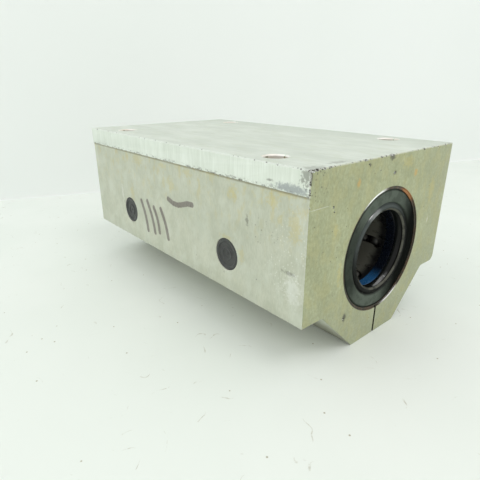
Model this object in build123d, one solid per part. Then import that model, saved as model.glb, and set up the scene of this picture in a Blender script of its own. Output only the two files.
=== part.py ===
"""Tandem linear ball bushing unit: two recirculating ball bushings in one slotted aluminium block.

Frame: millimetres, +X along the bore, +Z towards the mounting face, origin on the bore axis at
mid length. "Front" pieces lie at +X and "rear" pieces at -X. The reference edge, the side ports
and the heads of the adjusting screws are on the -Y side.
"""
import os
from math import asin, cos, degrees, radians, sin, sqrt

from build123d import *

# ---- Shaft and bushing bore ------------------------------------------------------------------
SHAFT_D = 30.0                # shaft that the unit runs on
BUSHING_WALL = 8.5            # shaft to the bore that the bushing sits in
BUSHING_LENGTH = 68.0
BUSHING_SPACING = 8.0         # between the inner ends of the two bushings
FIT_GAP = 0.02                # radial clearance of steel pieces in the bore
POLYMER_GAP = 0.06            # radial clearance of polymer pieces

# ---- Block -----------------------------------------------------------------------------------
BLOCK_WIDTH = 87.0
AXIS_TO_TOP = 35.0            # bore axis to mounting face
AXIS_TO_BOTTOM = 35.0
SIDE_HEIGHT = 51.0            # mounting face to the underside of the shoulders
BOTTOM_WIDTH = 28.0           # flat under the bore
FLANK_ANGLE = 45.0            # slope of the flanks below the shoulders
REFERENCE_BAND = 7.7          # height of the machined reference edge
REFERENCE_STEP = 0.4          # how far the reference edge stands proud of the side
SHOULDER_R = 3.0              # outer corner of the right shoulder, as extruded
FLANK_R = 2.5                 # hollow between shoulder and flank
FOOT_R = 1.0                  # corners of the bottom flat
MACHINED_EDGE = 0.25          # broken edges of the sawn end faces
SHORTEST_BROKEN_EDGE = 1.0    # edges of an end face below this length stay sharp
BORE_CHAMFER = 0.3
SLIT_WIDTH = 1.0

# ---- Mounting holes --------------------------------------------------------------------------
HOLE_FROM_END = 23.0
HOLE_FROM_SIDE = 9.5
HOLE_D = 8.5                  # passes an M8 screw, and is the tapping size for M10
HOLE_CHAMFER = 0.5
HEAD_POCKET_D = 15.0          # room for the head of an M8 screw, cut from below
HEAD_SEAT_DEPTH = 2.0         # seat of that head above the shoulder's underside

# ---- Side ports ------------------------------------------------------------------------------
PORT_DROP = 2.0               # port centre below the bore axis
PORT_D = 12.5
PORT_DEPTH = 4.6
PLUG_GAP = 0.06
PLUG_RIM = 1.2
PLUG_RECESS = 0.35            # dish inside the rim
PLUG_FLOOR = 1.6
PLUG_WALL = 1.3
PLUG_RING_D = 5.0             # raised ring in the middle of the dish
PLUG_RING_WALL = 0.6
PLUG_RING_SINK = 0.17         # dish inside that ring
LOCATOR_D = 8.0               # thread of the locating screw
LOCATOR_SINK = 1.0            # screw's outer end below the port's floor
LOCATOR_BORE_GAP = 1.0        # full diameter stops this far outside the bore
LOCATOR_EDGE = 0.6
LOCATOR_DOG_D = 5.0
LOCATOR_DOG_REACH = 2.6       # dog's length past the bushing's outside
LOCATOR_KEY = 4.0             # hexagon across flats
LOCATOR_KEY_DEPTH = 3.5
GREASE_D = 1.6                # lubrication channel through the screw
DOG_GAP = 0.1
THREAD_GAP = 0.05

# ---- Adjusting screws ------------------------------------------------------------------------
ADJUST_D = 4.0
ADJUST_SHANK = 24.0
ADJUST_HEAD_D = 7.0
ADJUST_HEAD_HEIGHT = 4.0
ADJUST_KEY = 3.0
ADJUST_KEY_DEPTH = 2.2
ADJUST_HEAD_EDGE = 0.4
ADJUST_TIP_EDGE = 0.5
ADJUST_SEAT = 11.0            # head's seat from the mid plane
ADJUST_POCKET_D = 7.6
ADJUST_CLEARANCE_D = 4.5
ADJUST_END_GAP = 1.0          # tapped hole past the screw's end

# ---- Shaft seals -----------------------------------------------------------------------------
SEAL_WIDTH = 3.6
SEAL_INSET = 0.4              # seal's face inside the block's end face
SEAL_CASE = 0.75              # wall of the steel case
SEAL_FLANGE = 3.4             # width of the case's inward flange
RUBBER_GAP = 0.02             # between the case and the rubber bonded in it
LIP_DROP = 0.35               # outer lip below the seal's face
LIP_LAND = 0.5                # width of each lip that touches the shaft
LIP_HOLLOW = 0.6              # depth of the hollow between the two lips
BEAD_WIDTH = 2.2              # rounded bead between the outer lip and the groove
BEAD_SINK = 0.1               # bead's crest below the seal's face
BEAD_LEAN = 0.275             # crest outside the bead's middle
GROOVE_WIDTH = 0.5
GROOVE_DEPTH = 0.9

# ---- Bushing ---------------------------------------------------------------------------------
CIRCUITS = 6
BALL_D = 4.762
BALL_SPACE = 0.048            # between neighbouring balls of a row
ROW_TRAVEL = 0.8              # free play of a row between the balls in the turns
TRACK_ANGLE = 23.0            # from a loaded row to its return row
ROOF_WALL = 1.04              # sleeve's wall over a return row
CHANNEL_GAP = 0.12
CAGE_SHAFT_GAP = 0.5
CAGE_GAP = 0.12               # between the cage and what lies round it
CAGE_END_WALL = 0.65          # cage past the end of a ball circuit
SLEEVE_GAP = 0.03             # further room for the sleeve outside the load plates' inner face
PLATE_WIDTH = 7.8
PLATE_OVERRUN = 1.1           # plate's end past the straight of a ball circuit
TRACK_GROOVE_R = 2.45
TRACK_GROOVE_DEPTH = 0.4
TRACK_GROOVE_GAP = 0.06       # over the loaded balls
PLATE_RAMP = 1.2              # lead-in at each end of a load plate
PLATE_RAMP_LENGTH = 2.4
WINDOW_GAP = 0.15
RING_SHAFT_GAP = 0.35
RING_FLANGE = 3.0             # part of an end ring that closes the bushing
RING_SKIRT = 1.0              # part of it that reaches in under the cage
RING_SKIRT_WALL = 0.6
RING_GAP = 0.1
RING_EDGE = 0.5               # bevel at its mouth

SAME_PLACE = 1e-6             # coordinates this close are equal

# ---- Worked-out sizes and places -------------------------------------------------------------
SHAFT_R = SHAFT_D / 2
BORE_R = SHAFT_R + BUSHING_WALL
BLOCK_LENGTH = 2 * (BUSHING_LENGTH + SEAL_WIDTH + SEAL_INSET) + BUSHING_SPACING
HALF_LENGTH = BLOCK_LENGTH / 2
HALF_WIDTH = BLOCK_WIDTH / 2
SHOULDER_Z = AXIS_TO_TOP - SIDE_HEIGHT
SIDE_Y = HALF_WIDTH - REFERENCE_STEP
BUSHING_X = (BUSHING_SPACING + BUSHING_LENGTH) / 2
SEAL_INNER_X = BUSHING_X + BUSHING_LENGTH / 2
SEAL_FACE_X = SEAL_INNER_X + SEAL_WIDTH
SEAT_Z = SHOULDER_Z + HEAD_SEAT_DEPTH
ADJUST_Z = -(BORE_R + AXIS_TO_BOTTOM) / 2

# Radii of the bushing's pieces, from the shaft outwards.
BALL_R = BALL_D / 2
BALL_PITCH = BALL_D + BALL_SPACE
LOAD_R = SHAFT_R + BALL_R
CHANNEL_R = BALL_R + CHANNEL_GAP
SLEEVE_OUT_R = BORE_R - POLYMER_GAP
RETURN_R = SLEEVE_OUT_R - ROOF_WALL - CHANNEL_R
PLATE_OUTER_R = BORE_R - FIT_GAP
TRACK_TOP_R = SHAFT_R + BALL_D + TRACK_GROOVE_GAP
PLATE_INNER_R = TRACK_TOP_R - TRACK_GROOVE_DEPTH
CAGE_IN_R = SHAFT_R + CAGE_SHAFT_GAP
CAGE_OUT_R = PLATE_INNER_R - CAGE_GAP
SLEEVE_IN_R = PLATE_INNER_R + SLEEVE_GAP
RING_IN_R = SHAFT_R + RING_SHAFT_GAP

# One ball circuit lies in a plane through its loaded row and its return row.
RETURN_Y = RETURN_R * sin(radians(TRACK_ANGLE))
RETURN_Z = RETURN_R * cos(radians(TRACK_ANGLE)) - LOAD_R
TRACK_GAP = sqrt(RETURN_Y**2 + RETURN_Z**2)
TURN_R = TRACK_GAP / 2
CAGE_HALF = BUSHING_LENGTH / 2 - RING_FLANGE
TURN_X = CAGE_HALF - CAGE_END_WALL - CHANNEL_R - TURN_R
PLATE_LENGTH = 2 * (TURN_X + PLATE_OVERRUN)

# Three balls lie in each turn, and each row is as long as leaves it room to travel.
TURN_STEP = 2 * asin(BALL_PITCH / TRACK_GAP)
ROW_GAP = sqrt((BALL_PITCH + ROW_TRAVEL)**2 - (TURN_R * (1 - sin(TURN_STEP)))**2)
ROW_END_LIMIT = TURN_X + TURN_R * cos(TURN_STEP) - ROW_GAP
BALLS_IN_ROW = 1 + int(2 * ROW_END_LIMIT / BALL_PITCH)

# The first loaded row is placed so that a rib of the cage lies under the locating screw.
LOCATING_ANGLE = 180 + degrees(asin(PORT_DROP / SLEEVE_OUT_R))
FIRST_TRACK_ANGLE = LOCATING_ANGLE - (360 / CIRCUITS - TRACK_ANGLE) / 2


def revolved(points):
    """A ring about the bore axis from an outline of (along the axis, radius) points."""
    outline = Plane.XZ * make_face(Polyline(*points, close=True))
    return revolve(outline, Axis.X)


def tube(x_low, x_high, outer, inner):
    return revolved([(x_low, inner), (x_high, inner), (x_high, outer), (x_low, outer)])


def rod(start, direction, radius, length):
    """A round bar or hole from a start point along a direction."""
    return extrude(Plane(origin=start, z_dir=direction) * Circle(radius), length)


def hexagon_bar(start, direction, across_flats, length):
    outline = RegularPolygon(across_flats / 2, 6, major_radius=False)
    return extrude(Plane(origin=start, z_dir=direction) * outline, length)


def about_axis(shape, angle):
    return Rot(angle, 0, 0) * shape


# ---- Block -----------------------------------------------------------------------------------
def block_profile():
    foot_y = BOTTOM_WIDTH / 2
    run = (SHOULDER_Z + AXIS_TO_BOTTOM) / sin(radians(FLANK_ANGLE)) * cos(radians(FLANK_ANGLE))
    flank_y = foot_y + run
    band_z = AXIS_TO_TOP - REFERENCE_BAND
    outline = make_face(Polyline(
        (-HALF_WIDTH, AXIS_TO_TOP), (-HALF_WIDTH, band_z), (-SIDE_Y, band_z - REFERENCE_STEP),
        (-SIDE_Y, SHOULDER_Z), (-flank_y, SHOULDER_Z), (-foot_y, -AXIS_TO_BOTTOM),
        (foot_y, -AXIS_TO_BOTTOM), (flank_y, SHOULDER_Z), (HALF_WIDTH, SHOULDER_Z),
        (HALF_WIDTH, AXIS_TO_TOP), close=True))

    def corners(y, z):
        return outline.vertices().filter_by(
            lambda v: abs(abs(v.X) - y) < SAME_PLACE and abs(v.Y - z) < SAME_PLACE)

    outline = fillet(corners(flank_y, SHOULDER_Z), FLANK_R)
    outline = fillet(corners(foot_y, -AXIS_TO_BOTTOM), FOOT_R)
    right_shoulder = corners(HALF_WIDTH, SHOULDER_Z)
    return fillet(right_shoulder, SHOULDER_R)


def mounting_hole_places():
    for x in (HOLE_FROM_END - HALF_LENGTH, HALF_LENGTH - HOLE_FROM_END):
        for y in (HOLE_FROM_SIDE - HALF_WIDTH, HALF_WIDTH - HOLE_FROM_SIDE):
            yield x, y


def mounting_hole(x, y):
    top = (x, y, AXIS_TO_TOP)
    shank = rod(top, (0, 0, -1), HOLE_D / 2, SIDE_HEIGHT)
    mouth = Pos(x, y, AXIS_TO_TOP - HOLE_CHAMFER / 2) * Cone(
        HOLE_D / 2, HOLE_D / 2 + HOLE_CHAMFER, HOLE_CHAMFER)
    pocket = rod((x, y, SEAT_Z), (0, 0, -1), HEAD_POCKET_D / 2, SEAT_Z + AXIS_TO_BOTTOM)
    return shank + mouth + pocket


def side_port(x):
    mouth = rod((x, -HALF_WIDTH, -PORT_DROP), (0, 1, 0), PORT_D / 2, HALF_WIDTH - SIDE_Y + PORT_DEPTH)
    thread = rod((x, -HALF_WIDTH, -PORT_DROP), (0, 1, 0), LOCATOR_D / 2, HALF_WIDTH - BORE_R / 2)
    return mouth + thread


def adjusting_screw_hole(x):
    pocket = rod((x, -ADJUST_SEAT, ADJUST_Z), (0, -1, 0), ADJUST_POCKET_D / 2, HALF_WIDTH)
    clearance = rod((x, -ADJUST_SEAT, ADJUST_Z), (0, 1, 0), ADJUST_CLEARANCE_D / 2, ADJUST_SEAT)
    tapped = rod((x, 0, ADJUST_Z), (0, 1, 0), ADJUST_D / 2, ADJUST_SHANK - ADJUST_SEAT + ADJUST_END_GAP)
    return pocket + clearance + tapped


def block():
    body = extrude(Plane.YZ * block_profile(), HALF_LENGTH, both=True)
    ends = body.faces().filter_by(Axis.X)
    body = chamfer(ends.edges().filter_by(lambda e: e.length > SHORTEST_BROKEN_EDGE), MACHINED_EDGE)
    body -= rod((-BLOCK_LENGTH, 0, 0), (1, 0, 0), BORE_R, 2 * BLOCK_LENGTH)
    for end in (-1, 1):
        body -= revolved([
            (end * (HALF_LENGTH - BORE_CHAMFER), BORE_R), (end * HALF_LENGTH, BORE_R + BORE_CHAMFER),
            (end * HALF_LENGTH, BORE_R - BORE_CHAMFER)])
    body -= Pos(0, 0, -AXIS_TO_BOTTOM) * Box(2 * BLOCK_LENGTH, SLIT_WIDTH, AXIS_TO_BOTTOM)
    for x, y in mounting_hole_places():
        body -= mounting_hole(x, y)
    for x in (-BUSHING_X, BUSHING_X):
        body -= side_port(x)
        body -= adjusting_screw_hole(x)
    return body


# ---- Screws and plugs ------------------------------------------------------------------------
def port_plug(x):
    """A snap-in cap: a raised rim round a shallow dish, with a skirt that grips the port."""
    radius = PORT_D / 2 - PLUG_GAP
    skirt = PORT_DEPTH - 2 * PLUG_GAP
    face = Plane(origin=(x, -SIDE_Y, -PORT_DROP), z_dir=(0, 1, 0))
    cap = extrude(face * Circle(radius), skirt)
    cap -= extrude(face * Circle(radius - PLUG_RIM), PLUG_RECESS)
    cap += extrude(face * Circle(PLUG_RING_D / 2), PLUG_RECESS)
    cap -= extrude(face * Circle(PLUG_RING_D / 2 - PLUG_RING_WALL), PLUG_RING_SINK)
    hollow = face.offset(PLUG_FLOOR) * Circle(radius - PLUG_WALL)
    return cap - extrude(hollow, skirt)


def locating_screw(x):
    """A hollow grub screw whose dog enters a hole in the bushing's sleeve."""
    outer_y = -SIDE_Y + PORT_DEPTH + LOCATOR_SINK
    start = (x, outer_y, -PORT_DROP)
    radius = LOCATOR_D / 2 - THREAD_GAP
    screw = rod(start, (0, 1, 0), radius, -outer_y - BORE_R - LOCATOR_BORE_GAP)
    screw = chamfer(screw.edges().filter_by(GeomType.CIRCLE), LOCATOR_EDGE)
    sleeve_y = -sqrt(SLEEVE_OUT_R**2 - PORT_DROP**2)
    screw += rod(start, (0, 1, 0), LOCATOR_DOG_D / 2, sleeve_y + LOCATOR_DOG_REACH - outer_y)
    screw -= hexagon_bar(start, (0, 1, 0), LOCATOR_KEY, LOCATOR_KEY_DEPTH)
    return screw - rod(start, (0, 1, 0), GREASE_D / 2, HALF_WIDTH)


def adjusting_screw(x):
    """A socket head screw that draws the two halves below the slit together."""
    seat = (x, -ADJUST_SEAT, ADJUST_Z)
    head = rod(seat, (0, -1, 0), ADJUST_HEAD_D / 2, ADJUST_HEAD_HEIGHT)
    head = chamfer(head.faces().sort_by(Axis.Y)[0].edges(), ADJUST_HEAD_EDGE)
    shank = rod(seat, (0, 1, 0), ADJUST_D / 2 - THREAD_GAP, ADJUST_SHANK)
    shank = chamfer(shank.faces().sort_by(Axis.Y)[-1].edges(), ADJUST_TIP_EDGE)
    key_start = (x, -ADJUST_SEAT - ADJUST_HEAD_HEIGHT, ADJUST_Z)
    return head + shank - hexagon_bar(key_start, (0, 1, 0), ADJUST_KEY, ADJUST_KEY_DEPTH)


# ---- Shaft seals (front one; the rear one is the same, turned end for end) --------------------
def seal_case():
    """Steel case: a cylinder pressed in the bore with an inward flange on its inner side."""
    outer = BORE_R - FIT_GAP
    inner = outer - SEAL_CASE
    flange_x = SEAL_INNER_X + SEAL_CASE
    return revolved([
        (SEAL_INNER_X, outer), (SEAL_FACE_X, outer), (SEAL_FACE_X, inner), (flange_x, inner),
        (flange_x, inner - SEAL_FLANGE), (SEAL_INNER_X, inner - SEAL_FLANGE)])


def seal_rubber():
    """Rubber body with a flat face, a groove, a rounded bead and two wiping lips."""
    outer = BORE_R - FIT_GAP - SEAL_CASE - RUBBER_GAP
    back_x = SEAL_INNER_X + SEAL_CASE + RUBBER_GAP
    lip_x = SEAL_FACE_X - LIP_DROP
    inner_lip_x = SEAL_INNER_X + RUBBER_GAP
    bead_r = SHAFT_R + BEAD_WIDTH
    groove_r = bead_r + GROOVE_WIDTH
    groove_x = SEAL_FACE_X - GROOVE_DEPTH
    bead_top = (SEAL_FACE_X - BEAD_SINK, (SHAFT_R + bead_r) / 2 + BEAD_LEAN)
    hollow_top = ((lip_x + inner_lip_x) / 2, SHAFT_R + LIP_HOLLOW)
    bead = ThreePointArc((groove_x, bead_r), bead_top, (lip_x, SHAFT_R))
    hollow = ThreePointArc((lip_x - LIP_LAND, SHAFT_R), hollow_top, (inner_lip_x + LIP_LAND, SHAFT_R))
    front = Polyline((SEAL_FACE_X, outer), (SEAL_FACE_X, groove_r), (groove_x, groove_r), bead @ 0)
    land = Line(bead @ 1, hollow @ 0)
    back = Polyline(
        hollow @ 1, (inner_lip_x, SHAFT_R), (inner_lip_x, bead_r), (back_x, groove_r), (back_x, outer),
        (SEAL_FACE_X, outer))
    outline = Plane.XZ * make_face([front, bead, land, hollow, back])
    return revolve(outline, Axis.X)


# ---- Ball circuits ---------------------------------------------------------------------------
def circuit_plane():
    """The plane of the first circuit: X along the bore, Y from the loaded row to the return row."""
    return Plane(origin=(0, 0, LOAD_R), x_dir=(1, 0, 0), z_dir=(0, -RETURN_Z, RETURN_Y))


def circuit_channel(radius):
    """The closed tunnel that one circuit's balls run in."""
    centre_y = TRACK_GAP / 2
    tunnel = None
    for y in (0, TRACK_GAP):
        straight = Pos(0, y, 0) * Rot(0, 90, 0) * Cylinder(radius, 2 * TURN_X)
        tunnel = straight if tunnel is None else tunnel + straight
    for end in (-1, 1):
        section = Plane(origin=(end * TURN_X, centre_y - TURN_R, 0), z_dir=(end, 0, 0)) * Circle(radius)
        turn_axis = Axis((end * TURN_X, centre_y, 0), (0, 0, 1))
        tunnel += revolve(section, turn_axis, end * 180)
    return circuit_plane() * tunnel


def circuit_angles():
    """Angle of each loaded row about the bore axis, from +Y towards +Z."""
    return [FIRST_TRACK_ANGLE + k * 360 / CIRCUITS for k in range(CIRCUITS)]


def balls(points):
    """Balls at (x, y) points of the circuit's plane, repeated for every circuit."""
    first = [circuit_plane() * Pos(x, y, 0) * Sphere(BALL_R) for x, y in points]
    return [about_axis(ball, angle - 90) for angle in circuit_angles() for ball in first]


def row_points(y):
    return [((k - (BALLS_IN_ROW - 1) / 2) * BALL_PITCH, y) for k in range(BALLS_IN_ROW)]


def turn_points():
    points = []
    for end in (-1, 1):
        for step in (-TURN_STEP, 0, TURN_STEP):
            points.append((end * (TURN_X + TURN_R * cos(step)), TURN_R * (1 + sin(step))))
    return points


# ---- Bushing pieces, about a bushing's own middle --------------------------------------------
def load_plate():
    """A hardened steel segment with one ball groove, its loaded row straight up."""
    ring = tube(-PLATE_LENGTH / 2, PLATE_LENGTH / 2, PLATE_OUTER_R, PLATE_INNER_R)
    plate = ring & (Pos(0, 0, BORE_R) * Box(PLATE_LENGTH, PLATE_WIDTH, BORE_R))
    plate -= Pos(0, 0, TRACK_TOP_R - TRACK_GROOVE_R) * Rot(0, 90, 0) * Cylinder(TRACK_GROOVE_R, PLATE_LENGTH)
    for end in (-1, 1):
        tip = end * PLATE_LENGTH / 2
        foot = tip - end * PLATE_RAMP_LENGTH
        ramp = make_face(Polyline(
            (tip, SHAFT_R), (tip, PLATE_INNER_R + PLATE_RAMP), (foot, PLATE_INNER_R), (foot, SHAFT_R),
            close=True))
        plate -= extrude(Plane.XZ * ramp, PLATE_WIDTH, both=True)
    return plate


def cage():
    """Inner tube that parts the balls from the shaft and is open along each loaded row."""
    body = tube(-CAGE_HALF, CAGE_HALF, CAGE_OUT_R, CAGE_IN_R)
    skirt_r = RING_IN_R + RING_SKIRT_WALL + RING_GAP
    skirt_x = CAGE_HALF - RING_SKIRT - RING_GAP
    for end in (-1, 1):
        body -= tube(end * skirt_x, end * CAGE_HALF, skirt_r, SHAFT_R)
    channel = circuit_channel(CHANNEL_R)
    for angle in circuit_angles():
        body -= about_axis(channel, angle - 90)
    return body


def sleeve():
    """Outer tube with a window for each load plate and a roof over each return row."""
    half = BUSHING_LENGTH / 2
    body = tube(-half, half, SLEEVE_OUT_R, SLEEVE_IN_R)
    window = Pos(0, 0, BORE_R) * Box(PLATE_LENGTH + 2 * WINDOW_GAP, PLATE_WIDTH + 2 * WINDOW_GAP, BORE_R)
    channel = circuit_channel(CHANNEL_R)
    for angle in circuit_angles():
        body -= about_axis(window, angle - 90)
        body -= about_axis(channel, angle - 90)
    return body - rod((0, -BORE_R, -PORT_DROP), (0, 1, 0), LOCATOR_DOG_D / 2 + DOG_GAP, BORE_R / 2)


def end_ring(end):
    """Ring that closes one end of a bushing, with a skirt under the cage."""
    face = end * (BUSHING_LENGTH / 2 - RING_GAP)
    flange = end * (CAGE_HALF + RING_GAP)
    skirt = end * (CAGE_HALF - RING_SKIRT)
    outer = SLEEVE_IN_R - RING_GAP
    skirt_r = RING_IN_R + RING_SKIRT_WALL
    return revolved([
        (face, RING_IN_R + RING_EDGE), (face, outer), (flange, outer), (flange, skirt_r),
        (skirt, skirt_r), (skirt, RING_IN_R), (face - end * RING_EDGE, RING_IN_R)])


# ---- Export ----------------------------------------------------------------------------------
def write(name, shape):
    export_step(shape, os.path.join("parts", name + ".step"))


def write_group(name, solids):
    write(name, Compound(children=[s.solids()[0] for s in solids]))


def write_bushing(side, x, end_out):
    place = Pos(x, 0, 0)
    write(side + "_cage", place * cage())
    write(side + "_sleeve", place * sleeve())
    write(side + "_outer_end_ring", place * end_ring(end_out))
    write(side + "_inner_end_ring", place * end_ring(-end_out))
    plate = load_plate()
    for number, angle in enumerate(circuit_angles(), 1):
        write(f"{side}_load_plate_{number}", place * about_axis(plate, angle - 90))
    write_group(side + "_loaded_balls", [place * b for b in balls(row_points(0))])
    write_group(side + "_return_balls", [place * b for b in balls(row_points(TRACK_GAP))])
    write_group(side + "_turn_balls", [place * b for b in balls(turn_points())])


def main():
    os.makedirs("parts", exist_ok=True)
    write("housing", block())
    for side, end in (("front", 1), ("rear", -1)):
        x = end * BUSHING_X
        flip = Rot(0, 0, 0) if end > 0 else Rot(0, 180, 0)
        write(side + "_seal_case", flip * seal_case())
        write(side + "_seal_rubber", flip * seal_rubber())
        write(side + "_port_plug", port_plug(x))
        write(side + "_locating_screw", locating_screw(x))
        write(side + "_adjusting_screw", adjusting_screw(x))
        write_bushing(side, x, end)


main()
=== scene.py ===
# %% [markdown]
# # A used tandem linear bearing block
# The object is a long aluminium block with two ball bushings in one bore, sealed at both ends with black
# rubber rings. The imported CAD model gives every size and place, so this script only adds looks: it wears the
# block's edges, replaces a few plain pieces by finer ones, and gives each finish its own node material.

# %% Frame, sizes and helpers
import random
from math import cos, pi, radians, sin, tau

import bmesh
import bpy
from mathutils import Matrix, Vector, noise


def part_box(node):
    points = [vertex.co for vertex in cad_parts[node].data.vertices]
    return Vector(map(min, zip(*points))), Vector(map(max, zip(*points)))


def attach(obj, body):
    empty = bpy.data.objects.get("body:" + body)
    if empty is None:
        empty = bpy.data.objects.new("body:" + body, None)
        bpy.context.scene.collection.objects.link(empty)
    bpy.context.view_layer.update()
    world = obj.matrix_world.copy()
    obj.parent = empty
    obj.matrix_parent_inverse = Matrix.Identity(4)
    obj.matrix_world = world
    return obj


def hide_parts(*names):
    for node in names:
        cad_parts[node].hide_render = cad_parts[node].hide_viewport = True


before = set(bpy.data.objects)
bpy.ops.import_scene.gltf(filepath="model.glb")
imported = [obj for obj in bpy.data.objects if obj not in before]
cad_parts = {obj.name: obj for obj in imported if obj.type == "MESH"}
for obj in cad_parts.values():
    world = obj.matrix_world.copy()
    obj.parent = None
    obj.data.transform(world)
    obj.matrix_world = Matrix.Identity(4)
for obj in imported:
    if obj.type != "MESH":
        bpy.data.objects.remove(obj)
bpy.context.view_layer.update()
MM = 0.001
low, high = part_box("housing")
END_X = high.x
HALF_Y = high.y
TOP_Z = high.z
FLOOR_Z = low.z
BAND_HEIGHT = 7.7 * MM
BAND_STEP = 0.4 * MM
BAND_Z = TOP_Z - BAND_HEIGHT
SIDE_Y = -HALF_Y + BAND_STEP
BORE_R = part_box("front_seal_case")[1].z + 0.02 * MM
PORTS = {side: sum(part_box(f"{side}_port_plug"), Vector()) / 2 for side in ("front", "rear")}
print("block", [round(v / MM, 1) for v in high - low], "bore radius", round(BORE_R / MM, 2))

# %% [markdown]
# ## Node helpers
# A material is easier to read as a list of steps than as pages of node and link calls. The small class
# below adds a node to a tree and plugs values or sockets into it in one call.

# %% Node helpers
class Wiring:
    def __init__(self, tree):
        self.tree = tree

    def add(self, kind, values=(), out=0, **settings):
        """Adds a node, sets its properties, feeds its inputs in order and returns one output."""
        node = self.tree.nodes.new(kind)
        for name, value in settings.items():
            setattr(node, name, value)
        for socket, value in zip(node.inputs, values):
            self.put(socket, value)
        return node.outputs[out]

    def put(self, socket, value):
        if isinstance(value, bpy.types.NodeSocket):
            self.tree.links.new(value, socket)
        elif value is not None:
            socket.default_value = value

    def math(self, operation, *values, clamp=False):
        return self.add("ShaderNodeMath", values, operation=operation, use_clamp=clamp)

    def vector(self, operation, *values):
        out = 1 if operation in ("LENGTH", "DISTANCE", "DOT_PRODUCT") else 0
        return self.add("ShaderNodeVectorMath", values, out, operation=operation)

    def scaled(self, vector, factor):
        return self.add("ShaderNodeVectorMath", (vector, None, None, factor), operation="SCALE")

    def noise(self, position, detail=3.0, roughness=0.55):
        values = (position, None, 1.0, detail, roughness)
        return self.add("ShaderNodeTexNoise", values, noise_dimensions="3D")

    def fade(self, value, start, end, low=0.0, high=1.0):
        """A smooth change from low to high while value goes from start to end."""
        values = (value, start, end, low, high)
        return self.add("ShaderNodeMapRange", values, interpolation_type="SMOOTHSTEP")

    def follow(self, value, low, high):
        """From low to high where a noise goes from its usual least to its usual most."""
        return self.fade(value, 0.3, 0.7, low, high)

    def masked(self, mask, low, high):
        """From low to high as a mask goes from 0 to 1."""
        return self.fade(mask, 0.0, 1.0, low, high)

    def both(self, *masks):
        """The product of two or more masks, multiplied from the left."""
        total = masks[0]
        for mask in masks[1:]:
            total = self.math("MULTIPLY", total, mask)
        return total

    def any_of(self, masks):
        """The largest of some masks."""
        total = masks[0]
        for mask in masks[1:]:
            total = self.math("MAXIMUM", total, mask)
        return total

    def parts(self, vector):
        """The x, y and z of a vector."""
        return self.add("ShaderNodeSeparateXYZ", (vector,)).node.outputs

    def mix(self, factor, first, second):
        node = self.tree.nodes.new("ShaderNodeMix")
        node.data_type = "RGBA"
        for index, value in ((0, factor), (6, first), (7, second)):
            self.put(node.inputs[index], value)
        return node.outputs[2]

    def tint(self, base, mask, strength, shade):
        """Lays a shade over a base where a mask says, as strongly as given."""
        return self.mix(self.math("MULTIPLY", mask, strength), base, shade)

    def mask(self, name, **inputs):
        """Places a shared effect, and returns its mask or value."""
        node = self.tree.nodes.new("ShaderNodeGroup")
        node.node_tree = EFFECTS[name]
        for key, value in inputs.items():
            self.put(node.inputs[key.replace("_", " ")], value)
        return node.outputs[0]


EFFECTS = {}


def effect(name, inputs, result):
    """Starts a shader node group with named inputs; returns its wiring, its input sockets and its end."""
    tree = bpy.data.node_groups.new(name, "ShaderNodeTree")
    for title, kind in inputs.items():
        tree.interface.new_socket(name=title, in_out="INPUT", socket_type=f"NodeSocket{kind}")
    tree.interface.new_socket(name=result, in_out="OUTPUT", socket_type="NodeSocketFloat")
    start = tree.nodes.new("NodeGroupInput")
    end = tree.nodes.new("NodeGroupOutput")
    EFFECTS[name] = tree
    print("effect:", name, "from", ", ".join(inputs))
    return Wiring(tree), {title: start.outputs[title] for title in inputs}, end.inputs[0]


# %% [markdown]
# ## Shared effects
# Grain, stains, pits, worn edges and pen strokes turn up in several finishes. Each is a group that reads a
# position in millimetres and puts out one mask, so a material can place it with its own size and strength.

# %% Grain: noise drawn out along one direction, as a saw or a mill leaves it
w, i, end = effect("grain", {"Position": "Vector", "Length": "Vector"}, "Value")
w.put(end, w.noise(w.vector("DIVIDE", i["Position"], i["Length"])))

# %% Blotches: patches of a given size, wider or rarer as the level goes down or up
w, i, end = effect("blotches", {"Position": "Vector", "Size": "Vector", "Level": "Float"}, "Mask")
cloud = w.noise(w.vector("DIVIDE", i["Position"], i["Size"]), 5.0, 0.62)
w.put(end, w.fade(cloud, w.math("SUBTRACT", i["Level"], 0.07), w.math("ADD", i["Level"], 0.09)))

# %% Pits: small round spots, in a share of the cells of a grid without order
w, i, end = effect("pits", {
    "Position": "Vector", "Spacing": "Float", "Radius": "Float", "Share": "Float"}, "Mask")
cells = w.tree.nodes.new("ShaderNodeTexVoronoi")
cells.inputs["Scale"].default_value = 1.0
w.put(cells.inputs["Vector"], w.vector("DIVIDE", i["Position"], i["Spacing"]))
reach = w.math("MULTIPLY", cells.outputs["Distance"], i["Spacing"])
dot = w.fade(reach, i["Radius"], w.math("MULTIPLY", i["Radius"], 0.5))
chosen = w.math("LESS_THAN", w.add("ShaderNodeSeparateColor", (cells.outputs["Color"],)), i["Share"])
w.put(end, w.math("MULTIPLY", dot, chosen))

# %% Patch: one ragged spot at a given place
w, i, end = effect("patch", {
    "Position": "Vector", "Centre": "Vector", "Reach": "Vector", "Ragged": "Float"}, "Mask")
away = w.vector("LENGTH", w.vector("DIVIDE", w.vector("SUBTRACT", i["Position"], i["Centre"]), i["Reach"]))
rough = w.math("SUBTRACT", w.noise(w.scaled(i["Position"], 0.9), 4.0, 0.65), 0.5)
edge = w.math("ADD", away, w.math("MULTIPLY", rough, i["Ragged"]))
w.put(end, w.fade(edge, 1.0, 0.35))

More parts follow.
